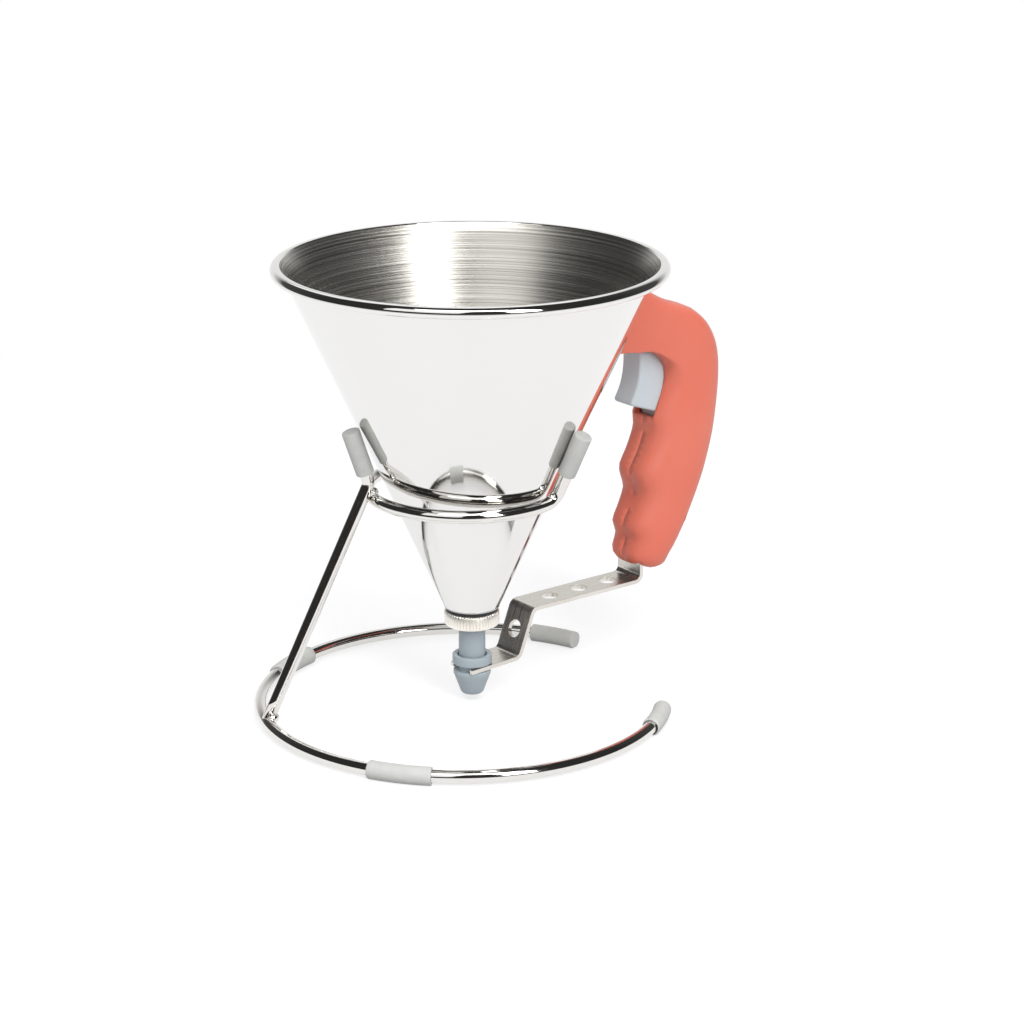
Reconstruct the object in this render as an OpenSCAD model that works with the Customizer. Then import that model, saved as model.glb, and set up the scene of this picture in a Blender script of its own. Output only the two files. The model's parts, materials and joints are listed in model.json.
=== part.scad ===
// Hand-held batter funnel with a trigger valve, standing in its bent-wire stand.
// Millimetres, +Z up. The funnel's own axis is vertical and the handle points to +X.
// The stand's opening faces the handle, so the funnel lifts straight out of it.

/* [Funnel] */
// Outside diameter across the rolled rim
rim_d = 150; // [135:1:165]
// Thickness of the rolled rim
rim_bead_d = 4.4; // [3:0.2:5.4]
// Height of the cone from its lower end to the middle of the rim
cone_h = 133.8; // [120:0.2:150]
// Outside diameter of the cone at its lower end
cone_low_d = 21.6; // [21:0.1:23]
// Thickness of the spun steel sheet
sheet_t = 0.8; // [0.6:0.1:1.2]

/* [Outlet] */
// Clear height under the nozzle while the funnel stands in its stand
nozzle_clear = 2.9; // [1.5:0.1:8]
// Height of the nozzle below the fork groove
nozzle_tip_h = 9.8; // [8.5:0.1:14]
// Diameter of the nozzle below the fork groove
nozzle_d = 14.6; // [13.6:0.1:17]
// Diameter of the nozzle at its lower end
nozzle_end_d = 8.6; // [7.8:0.1:11]
// Diameter of the hole that the batter leaves by
outlet_d = 6; // [4:0.1:6.4]
// Height of the groove that the fork grips
groove_h = 2.6; // [2.5:0.1:4]
// Diameter of the nozzle at the bottom of the groove
groove_d = 10; // [9.6:0.1:10.8]
// Height of the nozzle flange above the groove
flange_h = 3.6; // [3:0.1:6]
// Diameter of the nozzle flange
flange_d = 15.4; // [14:0.1:18]
// Length of valve tube that shows between the flange and the nut
tube_show = 13.4; // [10:0.1:16]
// Outside diameter of the valve tube
tube_d = 10.4; // [10:0.1:11]
// Bore of the valve tube
tube_bore_d = 5.8; // [4:0.1:6.2]
// Height of each of the four windows in the valve tube
window_h = 2.8; // [2:0.1:2.8]
// Width of each of the four windows
window_w = 4.6; // [2:0.1:5]
// Diameter of the domed head that closes the funnel
head_d = 13.6; // [12.8:0.1:14]

/* [Knurled nut] */
// Outside diameter of the nut
nut_d = 21.4; // [20.6:0.1:24]
// Height of the nut
nut_h = 5.8; // [5.6:0.1:9]
// Thickness of the nut's floor
nut_floor = 1.2; // [1:0.1:1.6]
// Diameter of the thread between nut and funnel
thread_d = 17.6; // [17.4:0.1:18]
// Number of grooves in the knurl
knurl_count = 60; // [40:1:72]

/* [Stand] */
// Diameter of the stand's wire
wire_d = 5; // [4:0.1:6]
// Radius of the base ring at the middle of the wire
base_r = 78.3; // [70:0.1:90]
// Offset of the base ring's centre from the funnel axis, away from the opening
base_back = 6.5; // [0:0.1:12]
// Offset of the base ring's centre to the side
base_side = 5.5; // [0:0.1:10]
// Half of the angle that the base ring is open
base_gap = 31.5; // [24:0.5:50]
// Turn of the stand about the funnel axis, against the handle
stand_turn = -15; // [-25:0.1:10]
// Height of the support ring below the seat of the funnel
ring_drop = 28; // [26:0.5:34]
// Offset of the support ring's centre from the funnel axis, towards the leg
ring_back = 1.6; // [0:0.1:3]
// Offset of the support ring's centre to the far side
ring_side = 1.5; // [0:0.1:3]
// Lean of the three prongs from the vertical
prong_lean = 18.5; // [16:0.5:21]
// Angle from the leg to each end prong
prong_turn = 129; // [114:1:132]
// Inside radius of the bends in the wire
bend_in_r = 2.5; // [2:0.1:6]
// Height of the prongs' seat above the lower end of the cone
seat_up = 75.3; // [70:0.1:90]

/* [Rubber sleeves] */
// Wall of each rubber sleeve
sleeve_wall = 1; // [0.8:0.1:1.6]
// Length of the two sleeves under the base ring
base_sleeve_len = 24; // [20:0.1:30]
// Length of the caps on the ends of the base ring
cap_len = 20; // [17:0.1:22]
// Length of the sleeves on the prongs
prong_sleeve_len = 18; // [14:0.1:20]
// Thickness of the closed end of a cap
cap_end = 1.8; // [1:0.1:3]
// Depth of the flat moulded under each foot
foot_flat = 0.25; // [0.1:0.05:0.5]

/* [Handle] */
// Free space for the fingers between the cone and the tip of the trigger
finger_gap = 33.7; // [28:0.1:40]
// Drop from the middle of the rolled rim to the lower end of the handle
grip_drop = 135.1; // [131:0.1:137]
// Width of the handle
grip_w = 24; // [22.6:0.2:28]
// Wall of the two handle shells
shell_wall = 2.4; // [2:0.1:2.8]
// Thickness of the steel fin inside the neck of the handle
fin_t = 3; // [2:0.1:4]

/* [Lever] */
// Angle that the trigger turns from closed to fully open
trigger_travel = 4; // [2:0.1:4.2]
// Width of the trigger
trigger_w = 11; // [9:0.1:13]
// Diameter of the pivot pin
pivot_d = 4; // [3:0.1:5]
// Width of the steel arm
arm_w = 14; // [13.4:0.1:15]
// Thickness of the steel arm
arm_t = 1.7; // [1.4:0.1:1.8]
// Diameter of the holes in the arm
arm_hole_d = 7; // [4:0.1:7.4]
// Distance between the holes along the arm
arm_hole_step = 15; // [12:0.2:16]
// Distance of the arm's upper bend from the funnel axis
arm_bend_x = 25.4; // [24:0.2:30]
// Distance of the arm's lower bend from the funnel axis
arm_foot_x = 18.2; // [17:0.2:20]
// Height of the level stretch of the arm below the handle
arm_below = 4.6; // [3:0.1:7]
// Reach of the fork's tips past the funnel axis
fork_reach = 5.2; // [4:0.1:8]

/* [Return spring] */
// Outside diameter of the return spring
spring_d = 7; // [6:0.1:8]
// Diameter of the spring wire
spring_wire_d = 0.9; // [0.6:0.05:1.2]
// Number of coils
spring_coils = 6; // [4:1:8]

/* [Hidden] */
$fn = 64;

far = 400;          // reach of a cut that goes all the way
fit = 0.05;         // radial clearance of a running fit
seat_gap = 0.3;     // between a sleeve's tip and the cone that rests on it
slack = 0.1;        // between pieces that are laid together

// Levels of the outlet, from the table up
groove_z = nozzle_clear + nozzle_tip_h;
flange_z = groove_z + groove_h;
flange_top = flange_z + flange_h;
nut_z = flange_top + tube_show;
nut_top = nut_z + nut_h;
collar_h = 0.5;
nut_gap = 0.7;
cone_z = nut_top + nut_gap + collar_h;
rim_z = cone_z + cone_h;

// The cone's outside and inside as functions of height
bead_r = rim_bead_d / 2;
bead_mid_r = rim_d / 2 - bead_r;
cone_top_r = rim_d / 2 - rim_bead_d + 0.3;
cone_slope = (cone_top_r - cone_low_d / 2) / cone_h;
cone_angle = atan(cone_slope);
sheet_x = sheet_t / cos(cone_angle);
function cone_out(z) = cone_low_d / 2 + (z - cone_z) * cone_slope;
function cone_in(z) = cone_out(z) - sheet_x;

// Outlet pieces
thread_r = thread_d / 2;
bore_r = thread_r - 1.6;
bush_flange_h = 1;
bush_z = nut_z + nut_floor;
bush_top = nut_top + slack;
gasket_h = 0.6;
gasket_z = bush_z + bush_flange_h;
spigot_z = gasket_z + gasket_h;
tube_r = tube_d / 2;
neck_r = tube_r - 1.2;
tube_step_z = flange_top - 1.7;
tube_end_z = nozzle_clear + 5.2;
window_z = bush_top - 0.5 - window_h;
seal_h = 1;
seal_z = bush_top + slack;
head_z = seal_z + seal_h;
head_h = 4.6;
o_ring_r = 0.55;

// Stand, in its own frame: the leg stands at -X and the opening is at +X
wire_r = wire_d / 2;
sleeve_r = wire_r + sleeve_wall;
base_z = sleeve_r - foot_flat;
bend_r = bend_in_r + wire_r;
seat_z = cone_z + seat_up;
seat_r = cone_out(seat_z) + (sleeve_r + seat_gap) / cos(cone_angle);
ring_z = seat_z - ring_drop;
leg_r = seat_r - ring_drop * tan(prong_lean);
ring_r = norm([leg_r - ring_back, ring_side]);
prong_len = ring_drop / cos(prong_lean);
foot_r = base_back + sqrt(base_r * base_r - base_side * base_side);
foot_to_ring = norm([foot_r - leg_r, ring_z - base_z]);
leg_lean = atan2(foot_r - leg_r, ring_z - base_z) - asin(wire_d / foot_to_ring);
bend_z = (foot_r + base_z * tan(leg_lean) - leg_r + ring_z * tan(prong_lean))
    / (tan(prong_lean) + tan(leg_lean));
bend_rho = leg_r + (bend_z - ring_z) * tan(prong_lean);
bend_leg = bend_r * tan((leg_lean + prong_lean) / 2);
end_turn = atan(bend_r / ring_r);
ring_end = 180 - prong_turn + end_turn;
function turned(v, a) = [v.x * cos(a) - v.y * sin(a), v.x * sin(a) + v.y * cos(a), v.z];
// Lean of an end prong, whose tip has to meet the cone: side is 1 for the far one, -1 for the near one
function end_lean(side) = let (c = turned([-ring_back, side * ring_side, 0], -ring_end))
    atan((sqrt(seat_r * seat_r - (c.y - bend_r) * (c.y - bend_r)) - c.x - ring_r) / ring_drop);
function end_prong_len(side) = ring_drop / cos(end_lean(side));

// Handle, laid out in the XZ plane from the point below the trigger's tip at its lower end
grip_z = rim_z - grip_drop;
trigger_tip_up = 69;
grip_x = cone_out(grip_z + trigger_tip_up) + finger_gap;
neck_z = grip_z + 104;
neck_h = 24;
function up(z) = grip_z + z;
function out(x) = grip_x + x;
function at(p) = [out(p.x), up(p.y)];

// Front of the grip from the bottom to the neck, as [height, reach]
front_knots = [[0, 7.5], [1.4, 4.6], [4, 1.8], [7.5, 1.2], [12.8, 3.1], [18.2, 1.3], [24, 4.2],
    [31, 6.9], [36, 5.4], [41, 4.6], [48, 8.6], [56, 11.7], [62, 11.2], [65, 12.4], [72, 15.4],
    [78, 17], [82, 17], [84.2, 15.9], [86, 14.6], [88, 12.4], [90, 9.4], [91.4, 6], [92.2, 2],
    [92.5, -3]];
// Back of the grip from the bottom to the top of the neck, as [height, reach]
back_knots = [[0, 18.4], [2, 20.2], [13, 27.5], [24, 33.6], [37, 39.4], [52, 43.8], [66, 45.8],
    [75, 46.4], [83, 46], [90, 44.2], [96, 41], [100, 37.6], [103.6, 33], [106, 28.6], [109, 20],
    [113, 12], [119, 4], [128, -3]];
// Half width of the grip, as [height, share of the full half width]
width_knots = [[0, 0.62], [1.2, 0.8], [3.5, 0.92], [8, 0.98], [14, 1], [104, 1], [112, 0.98],
    [120, 0.9], [126, 0.76], [128, 0.66]];
// Rounding of the grip's front edges, as [height, radius]
front_rs = [[0, 8], [74, 8], [84, 4.5], [89, 1.6], [128, 1.6]];
back_r = 10;        // rounding of the grip's back edges
root_x = 12;        // how far the neck starts inside the cone before it is cut back

// Smooth curve through a list of knots, sampled n times between each two
function blend(a, b, c, d, t) = 0.5 * (2 * b + (c - a) * t + (2 * a - 5 * b + 4 * c - d) * t * t
    + (3 * b - a - 3 * c + d) * t * t * t);
function smooth(k, n) = [
    for (i = [0 : len(k) - 2], j = [0 : n - 1])
        blend(k[max(i - 1, 0)], k[i], k[i + 1], k[min(i + 2, len(k) - 1)], j / n),
    k[len(k) - 1]];
front_line = smooth(front_knots, 5);
back_line = smooth(back_knots, 5);
neck_start = 92.5;  // height where the neck begins to reach for the cone
neck_full = 94.5;   // height where it has reached it
function to_root(z) = cone_out(up(z)) - root_x - grip_x;
function grip_front(z) = z < neck_start ? lookup(z, front_line)
    : z > neck_full ? to_root(z)
    : let (t = (z - neck_start) / (neck_full - neck_start))
        (1 - t * t) * lookup(neck_start, front_line) + t * t * to_root(z);
function grip_back(z) = lookup(z, back_line);
function grip_half(z) = grip_w / 2 * lookup(z, width_knots);

// One level of the grip: half an outline from the front round the far side to the back
function level(front, back, half, z, n, front_r) = let (
        rf = min(front_r, half - 0.4, (back - front) / 2 - 0.2),
        rb = min(back_r, half - 0.4, (back - front) / 2 - 0.2))
    [[front, 0, z],
     for (i = [0 : n]) [front + rf - rf * cos(90 * i / n), half - rf + rf * sin(90 * i / n), z],
     for (i = [0 : n]) [back - rb + rb * sin(90 * i / n), half - rb + rb * cos(90 * i / n), z],
     [back, 0, z]];

// Levels where the grip's outside and its hollow are cut
skin_levels = [0, 0.6, 1.4, 2.8, for (z = [5 : 2.6 : 83]) z, 84.6, 86, 87.4, 88.8, 90, 90.8, 91.6,
    92.2, 92.5, 93, 93.6, 94.5, for (z = [96.5 : 2 : 122]) z, 124, 126, 127.2, 128];
hollow_levels = [for (z = [shell_wall + 0.2 : 4 : 80]) z, 83.6, 87, 90, 93, 95.2, 97.4,
    for (z = [100 : 3 : 122]) z];
function hollow_front(z) = shell_wall + max(grip_front(z - shell_wall), grip_front(z),
    grip_front(min(z + shell_wall, 128)), cone_out(up(z)) + saddle_t - grip_x);
function hollow_back(z) = min(grip_back(z - shell_wall), grip_back(z),
    grip_back(min(z + shell_wall, 128))) - shell_wall;

saddle_t = 1.5;     // thickness of the plate welded to the cone

// Where the screws, pin and spring sit
boss_end = grip_w / 2 - 1;
screw_r = 1.5;
boss_r = 3.6;
neck_screws = [[-2.5, 114], [11, 104.8]];
fin_low = 109;
grip_screws = [[22.6, 20.2], [34.6, 54]];
pivot = [11.5, 12];
pin_half = grip_w / 2 - 2.2;
cheek = trigger_w / 2 + 0.3;
spring_up = 75;
spring_seat = [20.9, 36.6];

// Arm
arm_x = out(5.9);
arm_top = up(20);
arm_z = grip_z - arm_below;
foot_tilt = trigger_travel / 2 + 0.4;
fork_z = groove_z + groove_h / 2;
foot_z = fork_z + arm_foot_x * tan(foot_tilt);
arm_points = [[arm_x, arm_top], [arm_x, arm_z], [arm_bend_x, arm_z], [arm_foot_x, foot_z],
    [-fork_reach, fork_z - fork_reach * tan(foot_tilt)]];
arm_bend_r = 3;
drop_angle = atan2(arm_z - foot_z, arm_bend_x - arm_foot_x);
rivet_ups = [6, 17];
fork_half = groove_d / 2 + 0.3;
fork_shift = (up(pivot.y) - fork_z) * sin(trigger_travel);

// The whole object's middle, which the model is moved to stand on
base_x = base_side * sin(stand_turn) - base_back * cos(stand_turn);
mid_x = (out(46.4) + base_x - base_r - wire_r) / 2;
mid_y = -base_back * sin(stand_turn) - base_side * cos(stand_turn);

module place() {
    translate([-mid_x, -mid_y, 0]) children();
}

module in_stand() {
    rotate([0, 0, stand_turn]) children();
}

// Part of a ring bent from round stock, centred on an angle
module ring_part(r, stock_r, middle, sweep) {
    rotate([0, 0, middle - sweep / 2])
        rotate_extrude(angle = sweep)
            translate([r, 0]) circle(r = stock_r);
}

function arc_of(length, r) = length / r * 180 / PI;

module at_base() {
    translate([-base_back, -base_side, base_z]) children();
}

// ---------------------------------------------------------------- stand

module base_ring() {
    color("gainsboro") place() in_stand() at_base()
        ring_part(base_r, wire_r, 180, 360 - 2 * base_gap - 2 * arc_of(cap_end, base_r));
}

// Frames along the leg: the point, then two directions across the wire. Its lean goes from -leg_lean
// where it leaves the base ring to prong_lean where it becomes the first prong.
function across(lean) = [cos(lean), 0, -sin(lean)];
function along(lean) = [sin(lean), 0, cos(lean)];
function leg_frame(p, lean) = [p, [0, 1, 0], -across(lean)];
function leg_frames() = let (
        corner = [bend_rho, 0, bend_z],
        centre = corner + bend_r * across(-leg_lean) - bend_leg * along(-leg_lean),
        top = (seat_z - bend_z) / cos(prong_lean) - cap_end)
    [leg_frame([foot_r, 0, base_z] + along(-leg_lean), -leg_lean),
     for (k = [0 : 8]) let (lean = -leg_lean + (leg_lean + prong_lean) * k / 8)
        leg_frame(centre - bend_r * across(lean), lean),
     leg_frame(corner + top * along(prong_lean), prong_lean)];

// Round wire through a list of frames
module wire_through(frames) {
    sides = 24;
    n = len(frames);
    polyhedron(
        points = [for (f = frames, k = [0 : sides - 1])
            f[0] + wire_r * (cos(360 * k / sides) * f[1] + sin(360 * k / sides) * f[2])],
        faces = [
            [for (k = [0 : sides - 1]) k],
            [for (k = [sides - 1 : -1 : 0]) (n - 1) * sides + k],
            for (s = [0 : n - 2], k = [0 : sides - 1])
                let (a = s * sides + k, b = s * sides + (k + 1) % sides)
                    each [[b, a, a + sides], [b + sides, b, a + sides]]
        ]);
}

module stand_leg() {
    color("gainsboro") place() in_stand() difference() {
        rotate([0, 0, 180]) wire_through(leg_frames());
        at_base() ring_part(base_r, wire_r, 180, 20);
    }
}

// Frame of an end prong: the support ring arrives along -Y and the prong leaves along +Z
module end_prong(side) {
    mirror([0, side < 0 ? 1 : 0, 0])
        translate([-ring_back, side * ring_side, ring_z]) rotate([0, 0, ring_end])
            translate([ring_r, 0, 0]) rotate([0, end_lean(side), 0]) children();
}

// Frames of half the support ring, from its middle to the tip of the prong on one side. The near
// half is worked out as if it were on the far side and mirrored afterwards.
function half_ring(side) = let (
        steps = 24,
        lean = end_lean(side),
        middle = [-ring_back, side * ring_side, ring_z],
        start = 180 + side * asin(ring_side / ring_r))
    [for (k = [1 : steps - 1]) let (a = start + (ring_end - start) * k / steps, w = lean * k / steps)
        [middle + turned([ring_r, 0, 0], a), turned([cos(w), 0, -sin(w)], a),
            turned([sin(w), 0, cos(w)], a)],
     for (k = [0 : 8]) let (a = 90 * k / 8)
        end_frame([0, -bend_r * sin(a), bend_r - bend_r * cos(a)], [0, sin(a), cos(a)], lean, middle),
     end_frame([0, -bend_r, end_prong_len(side) - cap_end], [0, 1, 0], lean, middle)];
function tipped(v, lean) = turned([v.x * cos(lean) + v.z * sin(lean), v.y,
    v.z * cos(lean) - v.x * sin(lean)], ring_end);
function end_frame(p, n, lean, middle) = [middle + turned([ring_r, 0, 0], ring_end) + tipped(p, lean),
    tipped([1, 0, 0], lean), tipped(n, lean)];
function mirrored(v) = [v.x, -v.y, v.z];

module support_ring() {
    far_half = half_ring(1);
    near_half = half_ring(-1);
    last = len(near_half) - 1;
    first = turned([1, 0, 0], 180 + asin(ring_side / ring_r));
    color("gainsboro") place() in_stand() wire_through([
        for (i = [0 : last]) [for (v = near_half[last - i]) mirrored(v)],
        [[-ring_back, ring_side, ring_z] + ring_r * first, first, [0, 0, 1]],
        each far_half]);
}

module base_sleeve(middle) {
    sweep = arc_of(base_sleeve_len, base_r);
    color("lightgray") place() in_stand() difference() {
        at_base() ring_part(base_r, sleeve_r, middle, sweep);
        at_base() ring_part(base_r, wire_r, middle, sweep + 2);
        translate([-far / 2, -far / 2, -far]) cube(far);
    }
}

sleeve_turn = 51;   // angle from the leg to each sleeve under the base ring
module base_sleeve_near() {
    base_sleeve(180 + sleeve_turn);
}
module base_sleeve_far() {
    base_sleeve(180 - sleeve_turn);
}

// Cap on an end of the base ring: side is -1 or 1
module base_cap(side) {
    sweep = arc_of(cap_len, base_r);
    closed = arc_of(cap_end, base_r);
    middle = side * (base_gap + sweep / 2);
    color("lightgray") place() in_stand() difference() {
        at_base() ring_part(base_r, sleeve_r, middle, sweep);
        at_base() ring_part(base_r, wire_r, middle + side * closed, sweep);
        translate([-far / 2, -far / 2, -far]) cube(far);
    }
}

module base_cap_near() {
    base_cap(-1);
}
module base_cap_far() {
    base_cap(1);
}

// Rubber sleeve that closes over the end of a prong of the given length
module prong_cap(length) {
    translate([0, 0, length - prong_sleeve_len]) difference() {
        cylinder(h = prong_sleeve_len, r = sleeve_r);
        translate([0, 0, -1]) cylinder(h = prong_sleeve_len - cap_end + 1, r = wire_r);
    }
}

module prong_sleeve_leg() {
    color("lightgray") place() in_stand() rotate([0, 0, 180])
        translate([leg_r, 0, ring_z]) rotate([0, prong_lean, 0]) prong_cap(prong_len);
}
module prong_sleeve_near() {
    color("lightgray") place() in_stand() end_prong(-1)
        translate([0, -bend_r, 0]) prong_cap(end_prong_len(-1));
}
module prong_sleeve_far() {
    color("lightgray") place() in_stand() end_prong(1)
        translate([0, -bend_r, 0]) prong_cap(end_prong_len(1));
}

// ---------------------------------------------------------------- funnel and outlet

module funnel_cone() {
    color("whitesmoke") place() rotate_extrude() {
        polygon([[cone_in(cone_z), cone_z], [cone_out(cone_z), cone_z],
            [cone_out(rim_z), rim_z], [cone_in(rim_z), rim_z]]);
        translate([bead_mid_r, rim_z]) circle(r = bead_r);
    }
}

module threaded_spigot() {
    bevel = 1;
    color("silver") place() rotate_extrude() polygon([
        [bore_r, spigot_z], [thread_r, spigot_z], [thread_r, nut_top + nut_gap],
        [cone_out(cone_z), nut_top + nut_gap], [cone_out(cone_z), cone_z],
        [bore_r + bevel, cone_z], [bore_r, cone_z - bevel]]);
}

module knurled_nut() {
    groove_r = 0.32;
    edge = 0.5;
    color("tan") place() difference() {
        rotate_extrude() polygon([
            [tube_r + 0.2, nut_z], [nut_d / 2 - edge, nut_z], [nut_d / 2, nut_z + edge],
            [nut_d / 2, nut_top - edge], [nut_d / 2 - edge, nut_top], [thread_r + fit, nut_top],
            [thread_r + fit, bush_z], [tube_r + 0.2, bush_z]]);
        for (i = [0 : knurl_count - 1])
            rotate([0, 0, i * 360 / knurl_count])
                translate([nut_d / 2 + groove_r / 3, 0, nut_z - 1])
                    cylinder(h = nut_h + 2, r = groove_r);
    }
}

module spigot_gasket() {
    color("dimgray") place() translate([0, 0, gasket_z]) difference() {
        cylinder(h = gasket_h, r = thread_r - slack);
        translate([0, 0, -1]) cylinder(h = gasket_h + 2, r = bore_r);
    }
}

module guide_bushing() {
    ring_space = 2 * o_ring_r + slack;
    color("lightslategray") place() translate([0, 0, bush_z]) difference() {
        union() {
            cylinder(h = bush_flange_h, r = thread_r - slack);
            cylinder(h = bush_top - bush_z, r = bore_r - slack);
        }
        translate([0, 0, -1]) cylinder(h = nut_h + 4, r = tube_r + fit);
        translate([0, 0, -1]) cylinder(h = ring_space + 1, r = tube_r + fit + ring_space);
    }
}

module tube_o_ring() {
    color("black") place() translate([0, 0, bush_z + o_ring_r + slack / 2])
        rotate_extrude() translate([tube_r + slack + o_ring_r, 0]) circle(r = o_ring_r);
}

module nozzle() {
    band = 1.5;
    lip = 0.7;
    color("slategray") place() rotate_extrude() polygon([
        [outlet_d / 2, nozzle_clear], [nozzle_end_d / 2 - lip / 2, nozzle_clear],
        [nozzle_end_d / 2 + lip / 3, nozzle_clear + lip], [nozzle_d / 2, groove_z - band],
        [nozzle_d / 2, groove_z], [groove_d / 2, groove_z], [groove_d / 2, flange_z],
        [flange_d / 2, flange_z], [flange_d / 2, flange_top], [tube_r + 0.5, flange_top],
        [tube_r + 0.5, tube_step_z], [neck_r + fit / 2, tube_step_z],
        [neck_r + fit / 2, tube_end_z - slack], [outlet_d / 2, tube_end_z - slack]]);
}

module valve_tube() {
    color("slategray") place() difference() {
        rotate_extrude() polygon([
            [tube_bore_d / 2, tube_end_z], [neck_r, tube_end_z], [neck_r, tube_step_z],
            [tube_r, tube_step_z], [tube_r, seal_z], [neck_r, seal_z], [neck_r, head_z],
            [head_d / 2, head_z], [head_d / 2, head_z + 1.2], [2.4, head_z + head_h],
            [0, head_z + head_h], [0, seal_z], [tube_bore_d / 2, seal_z - 0.8]]);
        for (a = [0, 90])
            rotate([0, 0, a]) translate([-far / 2, -window_w / 2, window_z])
                cube([far, window_w, window_h]);
    }
}

module valve_seal() {
    color("whitesmoke") place() translate([0, 0, seal_z]) difference() {
        cylinder(h = seal_h, r = head_d / 2);
        translate([0, 0, -1]) cylinder(h = seal_h + 2, r = neck_r);
    }
}

// ---------------------------------------------------------------- handle

// Closed solid through a stack of half outlines; x and z are moved to the handle's place
module stack(rows) {
    n = len(rows[0]);
    m = len(rows);
    polyhedron(
        points = [for (row = rows, p = row) [out(p.x), p.y, up(p.z)]],
        faces = [
            [for (i = [n - 1 : -1 : 0]) i],
            [for (i = [0 : n - 1]) (m - 1) * n + i],
            for (j = [0 : m - 2], i = [0 : n - 1])
                let (a = j * n + i, b = j * n + (i + 1) % n) each [[a, b, a + n], [b, b + n, a + n]]
        ]);
}

// One half of the grip as a solid, on the +Y side
module grip_solid() {
    stack([for (z = skin_levels)
        level(grip_front(z), grip_back(z), grip_half(z), z, 5, lookup(z, front_rs))]);
}

// Its hollow, which runs a little past the joint between the halves
module grip_hollow() {
    rows = [for (z = hollow_levels)
        level(hollow_front(z), hollow_back(z), grip_half(z) - shell_wall, z, 3, 3.2)];
    stack([for (row = rows) [for (p = row) p.y == 0 ? [p.x, -1, p.z] : p]]);
}

module along_y(p, h, r, from = 0) {
    translate([out(p.x), from, up(p.y)]) rotate([-90, 0, 0]) cylinder(h = h, r = r, $fn = 32);
}

// Solid of revolution of the cone's outside, grown by a gap
module cone_space(gap) {
    rotate_extrude() polygon([[0, cone_z], [cone_out(cone_z) + gap, cone_z],
        [cone_out(rim_z) + gap, rim_z], [0, rim_z]]);
}

saddle_half = 8;
saddle_low = 100;
saddle_high = 122;

// A half shell on the +Y side; through says whether screws pass it or end in it
module half_shell(through) {
    difference() {
        union() {
            difference() {
                grip_solid();
                grip_hollow();
            }
            for (p = neck_screws)
                along_y(p, boss_end - fin_t / 2, boss_r, fin_t / 2);
            for (p = grip_screws)
                along_y(p, boss_end, boss_r);
            along_y(pivot, boss_end - cheek, boss_r, cheek);
            translate([out(spring_seat[1] - 2), 0, up(spring_up - 6)])
                cube([4.4, boss_end, 12]);
        }
        cone_space(slack);
        // pocket for the welded saddle and the fin
        intersection() {
            cone_space(saddle_t + slack);
            translate([0, 0, up(saddle_low) - slack])
                cube([far, saddle_half + slack, saddle_high - saddle_low + 2 * slack]);
        }
        translate([0, -1, up(fin_low) - slack])
            cube([out(neck_screws[0].x) - boss_r, 1 + fin_t / 2 + slack / 2, 11 + 2 * slack]);
        // opening that the trigger moves in
        translate([out(-2), -1, up(62)]) cube([23, 1 + cheek, 29.6]);
        // room for the arm, which leaves by a slot in the lower end
        translate([arm_x - arm_t / 2 - 0.6, -1, up(-1)])
            cube([5.8, 1 + arm_w / 2 + 0.5, arm_top - up(-1) + 0.8]);
        translate([arm_x - arm_t / 2 - 1.3, -1, up(-1)])
            cube([5.8, 1 + arm_w / 2 + 0.5, pivot.y]);
        translate([arm_x - arm_t / 2 - 1.3, -1, up(-1)])
            cube([5.8, 4, arm_top - up(-1) + 0.8]);
        // pocket for the end of the spring
        translate([out(spring_seat[1] - 3), 0, up(spring_up)])
            rotate([0, 90, 0]) cylinder(h = 3, r = spring_d / 2 + 0.3);
        along_y(pivot, pin_half, pivot_d / 2 + 0.02);
        for (p = concat(neck_screws, grip_screws)) {
            along_y(p, through ? grip_w : grip_w / 2 - 3, screw_r + (through ? 0.1 : 0.02), -1);
            if (through)
                along_y(p, grip_w, 3.1, grip_w / 2 - 3.4);
        }
    }
}

module handle_shell_far() {
    color("tomato") place() half_shell(true);
}

module handle_shell_near() {
    color("tomato") place() mirror([0, 1, 0]) half_shell(false);
}

module handle_bracket() {
    color("silver") place() difference() {
        union() {
            intersection() {
                difference() {
                    cone_space(saddle_t);
                    cone_space(0);
                }
                translate([0, -saddle_half, up(saddle_low)])
                    cube([far, 2 * saddle_half, saddle_high - saddle_low]);
            }
            difference() {
                translate([0, fin_t / 2, 0]) rotate([90, 0, 0]) linear_extrude(fin_t)
                    polygon([at([-40, fin_low]), at([-40, 119.6]), at([-6, 119]), at([1, 115.6]),
                        at([12, 108.8]), at([16.6, 106.4]), at([16.6, 101.2]), at([6, 101.2]),
                        at([-6, fin_low])]);
                cone_space(saddle_t / 2);
            }
        }
        for (p = neck_screws)
            along_y(p, 2 * fin_t, screw_r + 0.1, -fin_t);
    }
}

module handle_screws() {
    head_h = 1.8;
    seat = grip_w / 2 - 3.4;
    color("silver") place() for (p = concat(neck_screws, grip_screws)) {
        along_y(p, grip_w / 2 - 4 + seat, screw_r, 4 - grip_w / 2);
        difference() {
            along_y(p, head_h, 2.8, seat);
            translate([out(p.x), seat + head_h / 2, up(p.y)]) rotate([-90, 0, 0])
                cylinder(h = head_h, d = 3, $fn = 6);
        }
    }
}

module pivot_pin() {
    color("silver") place() along_y(pivot, 2 * pin_half, pivot_d / 2, -pin_half);
}

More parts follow.
